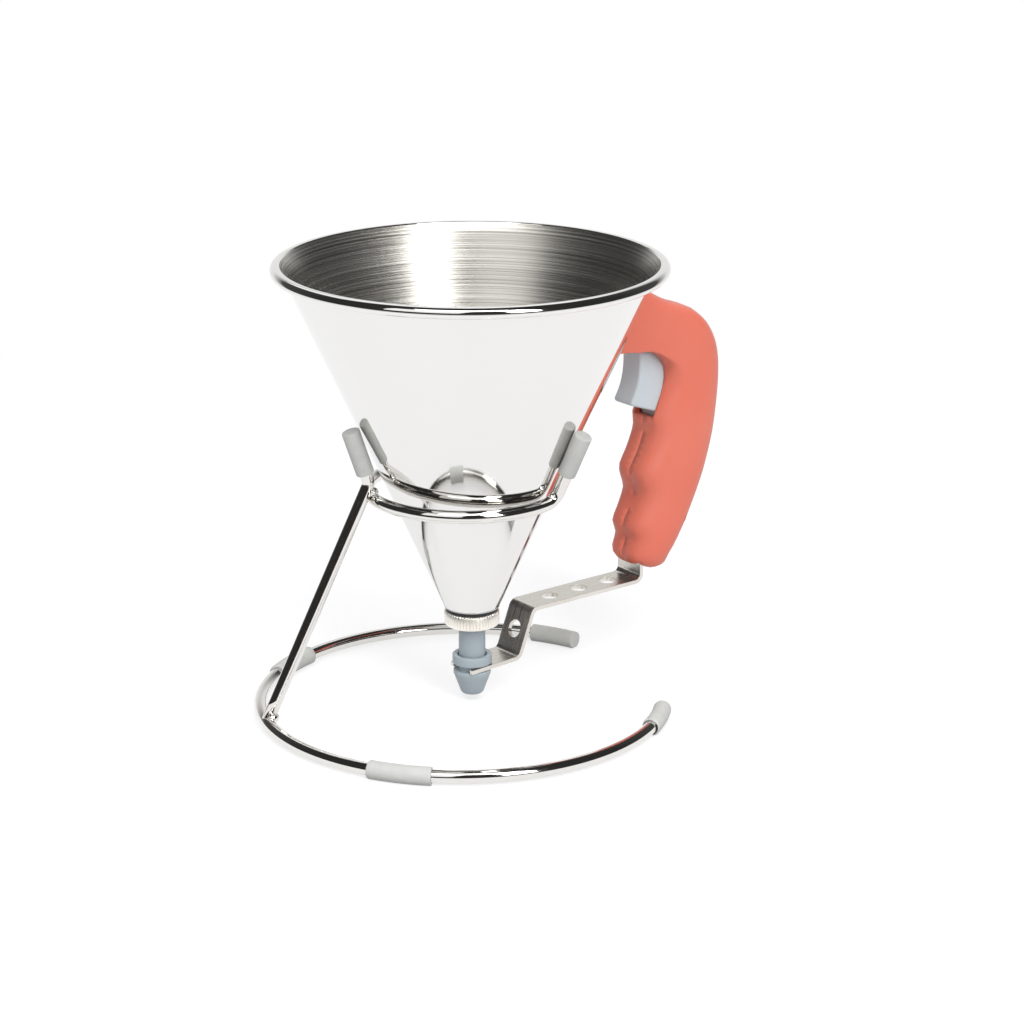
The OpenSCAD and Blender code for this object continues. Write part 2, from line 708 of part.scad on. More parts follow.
// Round wire wound about +X, from its seat on the trigger to its seat in the shells
module return_spring() {
    r = spring_wire_d / 2;
    mid_r = spring_d / 2 - r;
    turn_n = 14;
    sides = 8;
    steps = turn_n * spring_coils;
    from = spring_seat[0] + r;
    length = spring_seat[1] - spring_seat[0] - 2 * r;
    function wound(s) = let (t = s / steps, a = 360 * spring_coils * t)
        [from + length * t, mid_r, a];
    color("silver") place() translate([grip_x, 0, up(spring_up)]) polyhedron(
        points = [for (s = [0 : steps], k = [0 : sides - 1])
            let (w = wound(s), b = 360 * k / sides, rho = w[1] + r * cos(b))
                [w[0] + r * sin(b), rho * cos(w[2]), rho * sin(w[2])]],
        faces = [
            [for (k = [sides - 1 : -1 : 0]) k],
            [for (k = [0 : sides - 1]) steps * sides + k],
            for (s = [0 : steps - 1], k = [0 : sides - 1])
                let (a = s * sides + k, b = s * sides + (k + 1) % sides)
                    each [[a, b, a + sides], [b, b + sides, a + sides]]
        ]);
}

// ---------------------------------------------------------------- lever

// Outline of the trigger and of the spine that carries it down to the pivot
module trigger_outline() {
    front = smooth([[4.8, 90.4], [4.9, 85.4], [4.4, 80], [3, 75], [0.7, 70.6]], 4);
    polygon([for (p = front) at(p), at([0.6, 69.6]), at([1.2, 68.9]), at([11.6, 65.2]),
        at([14.8, 64]), at([15, 52]), at([10.8, 40]), at([10.2, 26]), at([6.8, 20.6]),
        at([6.8, 3.4]), at([16, 3.4]), at([17.6, 22]), at([20.4, 54]), at([20.8, 66]),
        at([20.8, 80]), at([18.4, 85.4]), at([14.6, 89]), at([9.6, 90.6])]);
}

module trigger() {
    color("lightsteelblue") place() difference() {
        union() {
            translate([0, trigger_w / 2, 0]) rotate([90, 0, 0])
                linear_extrude(trigger_w) trigger_outline();
            translate([out(spring_seat[0] - 1), 0, up(spring_up)]) rotate([0, 90, 0])
                cylinder(h = 4, r = spring_d / 2 - spring_wire_d - 0.3);
        }
        along_y(pivot, trigger_w + 2, pivot_d / 2 + fit, -trigger_w / 2 - 1);
        for (z = rivet_ups)
            translate([arm_x, 0, up(z)]) rotate([0, 90, 0]) cylinder(h = 5.4, r = screw_r);
    }
}

// Turns a list of corners into a strip outline of even thickness with rounded bends
function bent(p, r) = [
    p[0],
    for (i = [1 : len(p) - 2]) let (
            a = (p[i - 1] - p[i]) / norm(p[i - 1] - p[i]),
            b = (p[i + 1] - p[i]) / norm(p[i + 1] - p[i]),
            half = acos(a * b) / 2,
            mid = (a + b) / norm(a + b),
            centre = p[i] + mid * r / sin(half),
            start = p[i] + a * r / tan(half) - centre,
            stop = p[i] + b * r / tan(half) - centre,
            turn = 180 - 2 * half,
            s = sign(start.x * stop.y - start.y * stop.x))
        for (k = [0 : 6]) let (c = cos(s * turn * k / 6), d = sin(s * turn * k / 6))
            centre + [start.x * c - start.y * d, start.x * d + start.y * c],
    p[len(p) - 1]];
function heading(p, i) = let (v = p[min(i + 1, len(p) - 1)] - p[max(i - 1, 0)]) v / norm(v);
function beside(p, d) = [for (i = [0 : len(p) - 1]) let (h = heading(p, i)) p[i] + d * [-h.y, h.x]];
function backwards(p) = [for (i = [len(p) - 1 : -1 : 0]) p[i]];

module actuating_arm() {
    line = bent(arm_points, arm_bend_r);
    slot_end = fork_shift + 0.3;
    drop = ([arm_bend_x, arm_z] + [arm_foot_x, foot_z]) / 2;
    first_hole = arm_x - 12.2;
    color("silver") place() difference() {
        translate([0, arm_w / 2, 0]) rotate([90, 0, 0]) linear_extrude(arm_w)
            polygon(concat(beside(line, arm_t / 2), backwards(beside(line, -arm_t / 2))));
        for (i = [0 : 2])
            translate([first_hole - i * arm_hole_step, 0, arm_z - arm_t])
                cylinder(h = 2 * arm_t, d = arm_hole_d);
        translate([drop.x, 0, drop.y]) rotate([0, 90 - drop_angle, 0])
            rotate([0, 90, 0]) translate([0, 0, -arm_t]) cylinder(h = 2 * arm_t, d = arm_hole_d);
        // fork slot round the nozzle
        translate([slot_end, 0, fork_z - 4]) cylinder(h = 8, r = fork_half);
        translate([-far, -fork_half, fork_z - 4]) cube([far + slot_end, 2 * fork_half, 8]);
        for (z = rivet_ups)
            translate([arm_x - arm_t, 0, up(z)]) rotate([0, 90, 0])
                cylinder(h = 2 * arm_t, r = screw_r);
    }
}

module arm_rivets() {
    color("silver") place() for (z = rivet_ups)
        translate([arm_x - arm_t / 2 - 0.6, 0, up(z)]) rotate([0, 90, 0]) {
            cylinder(h = 5.4 + arm_t / 2 + 0.6, r = screw_r);
            cylinder(h = 0.6, r = 2.4);
        }
}

base_ring();
stand_leg();
support_ring();
base_sleeve_near();
base_sleeve_far();
base_cap_near();
base_cap_far();
prong_sleeve_leg();
prong_sleeve_near();
prong_sleeve_far();
funnel_cone();
threaded_spigot();
knurled_nut();
spigot_gasket();
guide_bushing();
tube_o_ring();
handle_bracket();
handle_shell_near();
handle_shell_far();
handle_screws();
pivot_pin();
return_spring();
trigger();
actuating_arm();
arm_rivets();
nozzle();
valve_tube();
valve_seal();
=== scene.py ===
# %% [markdown]
# # A batter funnel with a trigger valve, in its wire stand
# A cook fills the funnel with thin batter, lifts it out of the wire stand by the red handle and
# squeezes the grey trigger. The trigger turns a steel arm, and the fork at the arm's end lifts
# the grey nozzle, which opens the valve at the bottom of the funnel.
#
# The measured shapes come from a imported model, one node for each physical piece. This lesson
# rounds the edges of those shapes, spins the parts that show fine shape anew, and gives each
# surface a material made only of nodes.

import json
import math

import bmesh
import bpy
from mathutils import Matrix, Vector, noise
from mathutils.kdtree import KDTree


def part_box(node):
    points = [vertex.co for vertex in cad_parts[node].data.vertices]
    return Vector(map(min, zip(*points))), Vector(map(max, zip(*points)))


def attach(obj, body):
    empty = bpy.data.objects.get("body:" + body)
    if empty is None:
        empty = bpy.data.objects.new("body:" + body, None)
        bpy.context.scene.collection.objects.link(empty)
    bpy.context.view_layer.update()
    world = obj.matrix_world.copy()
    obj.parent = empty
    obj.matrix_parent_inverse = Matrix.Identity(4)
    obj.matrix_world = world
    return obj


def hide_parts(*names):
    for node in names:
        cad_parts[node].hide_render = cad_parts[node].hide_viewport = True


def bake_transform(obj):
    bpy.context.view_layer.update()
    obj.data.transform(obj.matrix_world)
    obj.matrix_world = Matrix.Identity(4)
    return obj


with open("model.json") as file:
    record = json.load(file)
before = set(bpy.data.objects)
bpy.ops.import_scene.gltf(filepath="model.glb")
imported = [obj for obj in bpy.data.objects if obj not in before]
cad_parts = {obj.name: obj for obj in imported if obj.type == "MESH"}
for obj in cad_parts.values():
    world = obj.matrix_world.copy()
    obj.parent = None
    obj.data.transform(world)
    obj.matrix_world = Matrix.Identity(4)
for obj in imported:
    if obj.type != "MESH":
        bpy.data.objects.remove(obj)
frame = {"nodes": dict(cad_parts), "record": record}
nodes = frame["nodes"]
body_of = {node: body for body, group in frame["record"]["behaviour"]["bodies"].items() for node in group}
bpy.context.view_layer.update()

# %% [markdown]
# ## Sizes that several steps share
# The model is in metres. The funnel's axis isn't at the origin, because the whole object,
# handle included, is centred there. The box of a round piece gives the axis back exactly.

# %% Axis and levels of the funnel
MM = 0.001


def middle(node):
    low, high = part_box(node)
    return (low + high) / 2


axis = middle("funnel_cone")
AXIS_X, AXIS_Y = axis.x, axis.y
cone_low, cone_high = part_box("funnel_cone")
rim_radius = (cone_high.x - cone_low.x) / 2
print("funnel axis at", round(AXIS_X, 5), round(AXIS_Y, 5), "rim radius", round(rim_radius, 5))

# %% [markdown]
# ## Helpers for the meshes
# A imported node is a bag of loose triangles. A copy of it is merged into one skin, its flat
# faces are joined again, and its sharp edges get a narrow bevel. No real edge is perfectly
# sharp: moulded plastic has a radius from the tool, and sheared steel is tumbled. The bevel is
# what catches the light along an edge, so it does more for the look than any texture.
#
# The other way would be a Bevel modifier. The operator is used here because it takes exactly
# the edges that are chosen, and the result can be measured straight away.

# %% Copy, soften and finish a piece
def merged_copy(name):
    """A bmesh with the triangles of a node, joined into one skin with whole flat faces."""
    bm = bmesh.new()
    bm.from_mesh(nodes[name].data)
    bmesh.ops.remove_doubles(bm, verts=bm.verts, dist=0.004 * MM)
    bmesh.ops.dissolve_limit(bm, angle_limit=math.radians(0.3), verts=bm.verts, edges=bm.edges)
    return bm


def soften(bm, width_mm, angle=40, segments=3):
    """Bevels the edges that are sharper than an angle, and says how many they were."""
    sharp = [edge for edge in bm.edges
             if len(edge.link_faces) == 2 and edge.calc_face_angle(0) > math.radians(angle)]
    bmesh.ops.bevel(bm, geom=sharp, offset=width_mm * MM, offset_type="OFFSET", segments=segments,
                    profile=0.5, affect="EDGES", clamp_overlap=True, material=-1)
    return len(sharp)


def finish_piece(bm, title, replaced, materials, body=None, smooth_angle=34, between=None):
    """Turns a bmesh into an object that rides on its body and stands for the nodes it replaces.

    between = (body, other body, start, end) is given for a piece that joins two bodies. Such a piece
    only has its transform baked and rides on no body; the bodies and points in between are not used."""
    mesh = bpy.data.meshes.new(title)
    bm.to_mesh(mesh)
    bm.free()
    for material in materials:
        mesh.materials.append(material)
    mesh.polygons.foreach_set("use_smooth", [True] * len(mesh.polygons))
    mesh.set_sharp_from_angle(angle=math.radians(smooth_angle))
    piece = bpy.data.objects.new(title, mesh)
    bpy.context.scene.collection.objects.link(piece)
    if between:
        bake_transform(piece)
    else:
        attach(piece, body or body_of[replaced[0]])
    if replaced:
        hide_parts(*replaced)
    print(f"{title}: {len(mesh.polygons)} faces")
    return piece


# %% [markdown]
# ## Helpers for the materials
# Colours are written as sRGB hex values, as a paint or plastic chart gives them. Blender's
# sockets take linear values, so one function converts them. One more function adds a node
# with its settings and links, which keeps each material short enough to read.
#
# Marks left by spinning or brushing run round the funnel. A noise that is read by the way out
# from the axis, instead of by an angle, has no seam where the angle jumps.

# %% Colours and nodes
def colour(code):
    """Linear RGBA of an sRGB hex colour."""
    parts = [int(code[i:i + 2], 16) / 255 for i in (1, 3, 5)]
    return (*[c / 12.92 if c <= 0.04045 else ((c + 0.055) / 1.055) ** 2.4 for c in parts], 1.0)


def add_node(tree, kind, sockets=None, **settings):
    """Adds a node. A socket's value is a number or colour, or an output that is linked to it."""
    node = tree.nodes.new(kind)
    for name, value in settings.items():
        setattr(node, name, value)
    for socket, value in (sockets or {}).items():
        if isinstance(value, bpy.types.NodeSocket):
            tree.links.new(value, node.inputs[socket])
        else:
            node.inputs[socket].default_value = value
    return node


def new_material(name):
    """An empty node material and its tree."""
    material = bpy.data.materials.new(name)
    material.use_nodes = True
    material.node_tree.nodes.clear()
    return material, material.node_tree


def round_the_axis(tree, round_scale, up_scale):
    """Places for marks that run round the funnel's axis: the way out from the axis, and the height."""
    place = add_node(tree, "ShaderNodeTexCoord")
    centred = add_node(tree, "ShaderNodeMapping", {
        "Vector": place.outputs["Object"], "Location": (-AXIS_X, -AXIS_Y, 0)})
    across = add_node(tree, "ShaderNodeVectorMath", {
        0: centred.outputs["Vector"], 1: (1, 1, 0)}, operation="MULTIPLY")
    way_out = add_node(tree, "ShaderNodeVectorMath", {0: across.outputs["Vector"]}, operation="NORMALIZE")
    upright = add_node(tree, "ShaderNodeVectorMath", {
        0: centred.outputs["Vector"], 1: (0, 0, up_scale)}, operation="MULTIPLY")
    marks = add_node(tree, "ShaderNodeVectorMath", {
        0: way_out.outputs["Vector"], 1: (round_scale, round_scale, 0), 2: upright.outputs["Vector"]},
        operation="MULTIPLY_ADD")
    return marks.outputs["Vector"]


print("coral red in linear values:", [round(c, 3) for c in colour("#E66553")])

# %% [markdown]
# ## Polished stainless steel
# The outside of the cone and its rolled rim are 18/10 stainless steel, spun on a lathe and then
# mirror-polished. To the eye that is a clear mirror with the faintest rings left from spinning.
# Stainless steel reflects about two thirds of the light, a little less at the blue end. The
# rings are real grooves about 0.3 mm apart, drawn here about 1 mm apart so that they show.

# %% Material: mirror-polished stainless steel
polished_steel, tree = new_material("mirror_polished_stainless_steel")
place = add_node(tree, "ShaderNodeTexCoord")
ring_noise = add_node(tree, "ShaderNodeTexNoise", {
    "Vector": round_the_axis(tree, 0.6, 900), "Scale": 1.0, "Detail": 3.0, "Roughness": 0.55})
haze = add_node(tree, "ShaderNodeTexNoise", {
    "Vector": place.outputs["Object"], "Scale": 45.0, "Detail": 4.0})
haze_rough = add_node(tree, "ShaderNodeMapRange", {
    "Value": haze.outputs["Fac"], "From Min": 0.3, "From Max": 0.7, "To Min": 0.035, "To Max": 0.075})
ring_bump = add_node(tree, "ShaderNodeBump", {
    "Strength": 0.05, "Distance": 0.00002, "Height": ring_noise.outputs["Fac"]})
shader = add_node(tree, "ShaderNodeBsdfPrincipled", {
    "Base Color": colour("#E3E2E0"), "Metallic": 1.0, "Roughness": haze_rough.outputs["Result"],
    "Normal": ring_bump.outputs["Normal"]})
add_node(tree, "ShaderNodeOutputMaterial", {"Surface": shader.outputs["BSDF"]})
print("made", polished_steel.name)

# %% [markdown]
# ## Brushed stainless steel
# The inside of the cone is brushed round and round with an abrasive pad. The scratches run
# round the axis, so a lamp's reflection is smeared up and down the wall: that gives the bright
# upright band that such a funnel always shows. Anisotropy in the shader does this, with a
# tangent that runs round the Z axis. The scratches are about 0.1 mm apart, drawn at 0.6 mm.

# %% Material: brushed stainless steel, inside of the cone
brushed_inside, tree = new_material("lathe_brushed_stainless_steel")
scratch_noise = add_node(tree, "ShaderNodeTexNoise", {
    "Vector": round_the_axis(tree, 0.2, 1600), "Scale": 1.0, "Detail": 2.5, "Roughness": 0.6})
tone = add_node(tree, "ShaderNodeValToRGB", {"Fac": scratch_noise.outputs["Fac"]})
tone.color_ramp.elements[0].position = 0.34
tone.color_ramp.elements[0].color = colour("#A5A29A")
tone.color_ramp.elements[1].position = 0.66
tone.color_ramp.elements[1].color = colour("#DEDCD6")
scratch_rough = add_node(tree, "ShaderNodeMapRange", {
    "Value": scratch_noise.outputs["Fac"], "From Min": 0.3, "From Max": 0.7,
    "To Min": 0.18, "To Max": 0.25})
scratch_bump = add_node(tree, "ShaderNodeBump", {
    "Strength": 0.008, "Distance": 0.00002, "Height": scratch_noise.outputs["Fac"]})
round_z = add_node(tree, "ShaderNodeTangent", direction_type="RADIAL", axis="Z")
shader = add_node(tree, "ShaderNodeBsdfPrincipled", {
    "Base Color": tone.outputs["Color"], "Metallic": 1.0,
    "Roughness": scratch_rough.outputs["Result"], "Anisotropic": 0.93,
    "Normal": scratch_bump.outputs["Normal"], "Tangent": round_z.outputs["Tangent"]})
add_node(tree, "ShaderNodeOutputMaterial", {"Surface": shader.outputs["BSDF"]})
print("made", brushed_inside.name)

# %% [markdown]
# ## Polished wire
# The stand is bent from 5 mm stainless wire and electropolished after welding. It is a little
# softer to the eye than the cone: drawing the wire leaves fine lines, and polishing leaves a
# slight unevenness of about a millimetre.

# %% Material: electropolished stainless wire
wire_steel, tree = new_material("electropolished_stainless_wire")
place = add_node(tree, "ShaderNodeTexCoord")
uneven = add_node(tree, "ShaderNodeTexNoise", {
    "Vector": place.outputs["Object"], "Scale": 700.0, "Detail": 3.0})
uneven_rough = add_node(tree, "ShaderNodeMapRange", {
    "Value": uneven.outputs["Fac"], "From Min": 0.3, "From Max": 0.7, "To Min": 0.05, "To Max": 0.1})
uneven_bump = add_node(tree, "ShaderNodeBump", {
    "Strength": 0.08, "Distance": 0.00004, "Height": uneven.outputs["Fac"]})
shader = add_node(tree, "ShaderNodeBsdfPrincipled", {
    "Base Color": colour("#DEDCD8"), "Metallic": 1.0, "Roughness": uneven_rough.outputs["Result"],
    "Normal": uneven_bump.outputs["Normal"]})
add_node(tree, "ShaderNodeOutputMaterial", {"Surface": shader.outputs["BSDF"]})
print("made", wire_steel.name)

# %% [markdown]
# ## Satin strip
# The arm is blanked from rolled strip, so its grain runs along the strip, which is along X
# here. A Mapping node stretches the noise that way, so that its spots become fine lines.

# %% Material: rolled stainless strip
strip_steel, tree = new_material("rolled_stainless_strip")
place = add_node(tree, "ShaderNodeTexCoord")
grain_place = add_node(tree, "ShaderNodeMapping", {
    "Vector": place.outputs["Object"], "Scale": (60, 2600, 60)})
grain = add_node(tree, "ShaderNodeTexNoise", {
    "Vector": grain_place.outputs["Vector"], "Scale": 1.0, "Detail": 3.0, "Roughness": 0.6})
grain_tone = add_node(tree, "ShaderNodeValToRGB", {"Fac": grain.outputs["Fac"]})
grain_tone.color_ramp.elements[0].position = 0.25
grain_tone.color_ramp.elements[0].color = colour("#D2CCC4")
grain_tone.color_ramp.elements[1].position = 0.75
grain_tone.color_ramp.elements[1].color = colour("#E6E2DC")
grain_rough = add_node(tree, "ShaderNodeMapRange", {
    "Value": grain.outputs["Fac"], "From Min": 0.3, "From Max": 0.7, "To Min": 0.24, "To Max": 0.36})
grain_bump = add_node(tree, "ShaderNodeBump", {
    "Strength": 0.08, "Distance": 0.00003, "Height": grain.outputs["Fac"]})
shader = add_node(tree, "ShaderNodeBsdfPrincipled", {
    "Base Color": grain_tone.outputs["Color"], "Metallic": 1.0,
    "Roughness": grain_rough.outputs["Result"], "Normal": grain_bump.outputs["Normal"]})
add_node(tree, "ShaderNodeOutputMaterial", {"Surface": shader.outputs["BSDF"]})
print("made", strip_steel.name)

# %% [markdown]
# ## Plain hardware
# Screws, rivets, the pin, the spring and the bracket are turned or pressed steel. They are a
# little duller than the polished sheet, with a fine mottle in their roughness only.

# %% Material: plain stainless hardware
plain_steel, tree = new_material("turned_stainless_steel")
place = add_node(tree, "ShaderNodeTexCoord")
mottle = add_node(tree, "ShaderNodeTexNoise", {
    "Vector": place.outputs["Object"], "Scale": 900.0, "Detail": 2.0})
mottle_rough = add_node(tree, "ShaderNodeMapRange", {
    "Value": mottle.outputs["Fac"], "From Min": 0.3, "From Max": 0.7, "To Min": 0.24, "To Max": 0.34})
shader = add_node(tree, "ShaderNodeBsdfPrincipled", {
    "Base Color": colour("#C6C6C5"), "Metallic": 1.0, "Roughness": mottle_rough.outputs["Result"]})
add_node(tree, "ShaderNodeOutputMaterial", {"Surface": shader.outputs["BSDF"]})
print("made", plain_steel.name)

# %% [markdown]
# ## Nickel plate
# The knurled nut is brass with a satin nickel plate, which is warmer than steel. Its knurl is
# real shape, so the material only adds the fine satin of the plate.

# %% Material: satin nickel plate
nickel_plate, tree = new_material("satin_nickel_plate")
place = add_node(tree, "ShaderNodeTexCoord")
satin = add_node(tree, "ShaderNodeTexNoise", {
    "Vector": place.outputs["Object"], "Scale": 1600.0, "Detail": 2.0})
satin_rough = add_node(tree, "ShaderNodeMapRange", {
    "Value": satin.outputs["Fac"], "From Min": 0.3, "From Max": 0.7, "To Min": 0.36, "To Max": 0.46})
shader = add_node(tree, "ShaderNodeBsdfPrincipled", {
    "Base Color": colour("#FAF6EF"), "Metallic": 1.0, "Roughness": satin_rough.outputs["Result"]})
add_node(tree, "ShaderNodeOutputMaterial", {"Surface": shader.outputs["BSDF"]})
print("made", nickel_plate.name)

# %% [markdown]
# ## Moulded handle plastic
# The handle is glass-filled polyamide, moulded in a spark-eroded tool. The eye sees an even
# coral red with a soft, wide highlight, and up close a fine grain of pits about 0.2 mm across,
# drawn at 0.5 mm here. Plastic has an IOR near 1.5. The colour drifts by a shade over a few
# centimetres, as filled plastic does where it flowed.

# %% Material: spark-textured polyamide, coral red
handle_plastic, tree = new_material("spark_textured_polyamide_coral")
place = add_node(tree, "ShaderNodeTexCoord")
flow = add_node(tree, "ShaderNodeTexNoise", {
    "Vector": place.outputs["Object"], "Scale": 30.0, "Detail": 2.0})
flow_tone = add_node(tree, "ShaderNodeValToRGB", {"Fac": flow.outputs["Fac"]})
flow_tone.color_ramp.elements[0].position = 0.3
flow_tone.color_ramp.elements[0].color = colour("#E3735D")
flow_tone.color_ramp.elements[1].position = 0.7
flow_tone.color_ramp.elements[1].color = colour("#E77A64")
pits = add_node(tree, "ShaderNodeTexNoise", {
    "Vector": place.outputs["Object"], "Scale": 2000.0, "Detail": 2.0, "Roughness": 0.5})
pit_rough = add_node(tree, "ShaderNodeMapRange", {
    "Value": pits.outputs["Fac"], "From Min": 0.3, "From Max": 0.7, "To Min": 0.4, "To Max": 0.52})
pit_bump = add_node(tree, "ShaderNodeBump", {
    "Strength": 0.25, "Distance": 0.00005, "Height": pits.outputs["Fac"]})
shader = add_node(tree, "ShaderNodeBsdfPrincipled", {
    "Base Color": flow_tone.outputs["Color"], "Roughness": pit_rough.outputs["Result"],
    "IOR": 1.5, "Normal": pit_bump.outputs["Normal"]})
add_node(tree, "ShaderNodeOutputMaterial", {"Surface": shader.outputs["BSDF"]})
print("made", handle_plastic.name)

# %% [markdown]
# ## Grey plastics
# The trigger is moulded in a pale blue-grey acetal with a smoother tool, so its edges shine a
# little. Nozzle and tube are the same kind of plastic in a darker grey.

# %% Materials: acetal for the trigger and for the valve
trigger_plastic, tree = new_material("acetal_pale_blue_grey")
place = add_node(tree, "ShaderNodeTexCoord")
fine = add_node(tree, "ShaderNodeTexNoise", {
    "Vector": place.outputs["Object"], "Scale": 1800.0, "Detail": 2.0})
fine_rough = add_node(tree, "ShaderNodeMapRange", {
    "Value": fine.outputs["Fac"], "From Min": 0.3, "From Max": 0.7, "To Min": 0.32, "To Max": 0.42})
fine_bump = add_node(tree, "ShaderNodeBump", {
    "Strength": 0.1, "Distance": 0.00003, "Height": fine.outputs["Fac"]})
shader = add_node(tree, "ShaderNodeBsdfPrincipled", {
    "Base Color": colour("#CAD4D9"), "Roughness": fine_rough.outputs["Result"], "IOR": 1.48,
    "Normal": fine_bump.outputs["Normal"]})
add_node(tree, "ShaderNodeOutputMaterial", {"Surface": shader.outputs["BSDF"]})

valve_plastic, tree = new_material("acetal_slate_grey")
place = add_node(tree, "ShaderNodeTexCoord")
fine = add_node(tree, "ShaderNodeTexNoise", {
    "Vector": place.outputs["Object"], "Scale": 1500.0, "Detail": 2.0})
fine_rough = add_node(tree, "ShaderNodeMapRange", {
    "Value": fine.outputs["Fac"], "From Min": 0.3, "From Max": 0.7, "To Min": 0.42, "To Max": 0.55})
fine_bump = add_node(tree, "ShaderNodeBump", {
    "Strength": 0.15, "Distance": 0.00003, "Height": fine.outputs["Fac"]})
shader = add_node(tree, "ShaderNodeBsdfPrincipled", {
    "Base Color": colour("#A6B1B7"), "Roughness": fine_rough.outputs["Result"], "IOR": 1.48,
    "Normal": fine_bump.outputs["Normal"]})
add_node(tree, "ShaderNodeOutputMaterial", {"Surface": shader.outputs["BSDF"]})
print("made", trigger_plastic.name, "and", valve_plastic.name)

# %% [markdown]
# ## Rubbers
# The sleeves of the stand are pale grey rubber, pushed over the wire so that the polished
# cone isn't scratched and the stand doesn't slide. Rubber is matt, with a dusty bloom that
# makes it patchy over a few millimetres. Gasket and O-ring are black nitrile, and the valve's
# seal is milky silicone.

# %% Materials: sleeve rubber, nitrile and silicone
sleeve_rubber, tree = new_material("pale_grey_rubber")
place = add_node(tree, "ShaderNodeTexCoord")
bloom = add_node(tree, "ShaderNodeTexNoise", {
    "Vector": place.outputs["Object"], "Scale": 260.0, "Detail": 5.0, "Roughness": 0.6})
bloom_tone = add_node(tree, "ShaderNodeValToRGB", {"Fac": bloom.outputs["Fac"]})
bloom_tone.color_ramp.elements[0].position = 0.3
bloom_tone.color_ramp.elements[0].color = colour("#C1C2BE")
bloom_tone.color_ramp.elements[1].position = 0.7
bloom_tone.color_ramp.elements[1].color = colour("#CACAC6")
bloom_rough = add_node(tree, "ShaderNodeMapRange", {
    "Value": bloom.outputs["Fac"], "From Min": 0.3, "From Max": 0.7, "To Min": 0.58, "To Max": 0.74})
skin = add_node(tree, "ShaderNodeTexNoise", {
    "Vector": place.outputs["Object"], "Scale": 1600.0, "Detail": 2.0})
skin_bump = add_node(tree, "ShaderNodeBump", {
    "Strength": 0.25, "Distance": 0.00004, "Height": skin.outputs["Fac"]})
shader = add_node(tree, "ShaderNodeBsdfPrincipled", {
    "Base Color": bloom_tone.outputs["Color"], "Roughness": bloom_rough.outputs["Result"],
    "IOR": 1.52, "Normal": skin_bump.outputs["Normal"]})
add_node(tree, "ShaderNodeOutputMaterial", {"Surface": shader.outputs["BSDF"]})

nitrile, tree = new_material("black_nitrile_rubber")
place = add_node(tree, "ShaderNodeTexCoord")
dust = add_node(tree, "ShaderNodeTexNoise", {
    "Vector": place.outputs["Object"], "Scale": 900.0, "Detail": 3.0})
dust_rough = add_node(tree, "ShaderNodeMapRange", {
    "Value": dust.outputs["Fac"], "From Min": 0.3, "From Max": 0.7, "To Min": 0.5, "To Max": 0.7})
shader = add_node(tree, "ShaderNodeBsdfPrincipled", {
    "Base Color": colour("#242424"), "Roughness": dust_rough.outputs["Result"], "IOR": 1.52})
add_node(tree, "ShaderNodeOutputMaterial", {"Surface": shader.outputs["BSDF"]})

silicone, tree = new_material("milky_food_silicone")
place = add_node(tree, "ShaderNodeTexCoord")
cloud = add_node(tree, "ShaderNodeTexNoise", {
    "Vector": place.outputs["Object"], "Scale": 500.0, "Detail": 2.0})
cloud_rough = add_node(tree, "ShaderNodeMapRange", {
    "Value": cloud.outputs["Fac"], "From Min": 0.3, "From Max": 0.7, "To Min": 0.4, "To Max": 0.5})
shader = add_node(tree, "ShaderNodeBsdfPrincipled", {
    "Base Color": colour("#E6E3DB"), "Roughness": cloud_rough.outputs["Result"], "IOR": 1.42,
    "Subsurface Weight": 0.2, "Subsurface Radius": (0.002, 0.002, 0.0018)})
add_node(tree, "ShaderNodeOutputMaterial", {"Surface": shader.outputs["BSDF"]})
print("made", sleeve_rubber.name, nitrile.name, silicone.name)

# %% [markdown]
# ## The funnel
# The cone is spun from one sheet, and its edge is rolled outwards into a bead that makes the
# rim stiff and safe to hold. A spin of its section is the natural way to make it. The section
# is drawn as a short chain of points: up the outside, round the bead and down the inside.
# The bead's own surface belongs to the polished outside.

# %% Spin the cone with its rolled rim
def spun(points_mm, steps=192):
    """Spins a closed section, given as (radius, height) pairs in mm, about the funnel's axis."""
    bm = bmesh.new()
    verts = [bm.verts.new((AXIS_X + r * MM, AXIS_Y, z * MM)) for r, z in points_mm]
    edges = [bm.edges.new(pair) for pair in zip(verts, verts[1:] + verts[:1])]
    bmesh.ops.spin(bm, geom=verts + edges, cent=(AXIS_X, AXIS_Y, 0), axis=(0, 0, 1),
                   angle=math.tau, steps=steps, use_merge=True, use_duplicate=False)
    bmesh.ops.remove_doubles(bm, verts=bm.verts, dist=0.002 * MM)
    bmesh.ops.recalc_face_normals(bm, faces=bm.faces)
    return bm


# sizes of the section, in millimetres
BEAD = 4.4               # height of the rolled rim
SHEET = 0.8              # thickness of the sheet, square to it
OUTLET_RADIUS = 10.8     # outside of the sheet at its lower end
BEAD_OVERLAP = 0.3       # how far the sheet's outside runs on into the bead
RINGS_UP = (0, 0.4, 20, 50, 80, 110)     # heights of the wall's rings above its lower end
ROLL = 2.1               # radius of the rolled edge
LIP = 0.7                # radius of the curl where the inside turns over into the edge
LIP_OUT = 0.8            # from the inside wall out to the middle of that curl
BRUSHED_BELOW_TOP = 0.9  # the brushing ends this far under the top

z_low, z_top = cone_low.z / MM, cone_high.z / MM
rim_mid = z_top - BEAD / 2
top_out = rim_radius / MM - BEAD + BEAD_OVERLAP
slope = (top_out - OUTLET_RADIUS) / (rim_mid - z_low)
wall = SHEET * math.sqrt(1 + slope * slope)      # thickness of the sheet, measured level


def cone_radius(z):
    """Outside radius of the cone at a height, both in millimetres."""
    return OUTLET_RADIUS + (z - z_low) * slope


def arc(centre_r, centre_z, radius, start, turn, steps):
    """Points of an arc in the section, from a start angle through a turn, in degrees."""
    angles = [math.radians(start + step * turn / steps) for step in range(steps + 1)]
    return [(centre_r + radius * math.cos(angle), centre_z + radius * math.sin(angle)) for angle in angles]


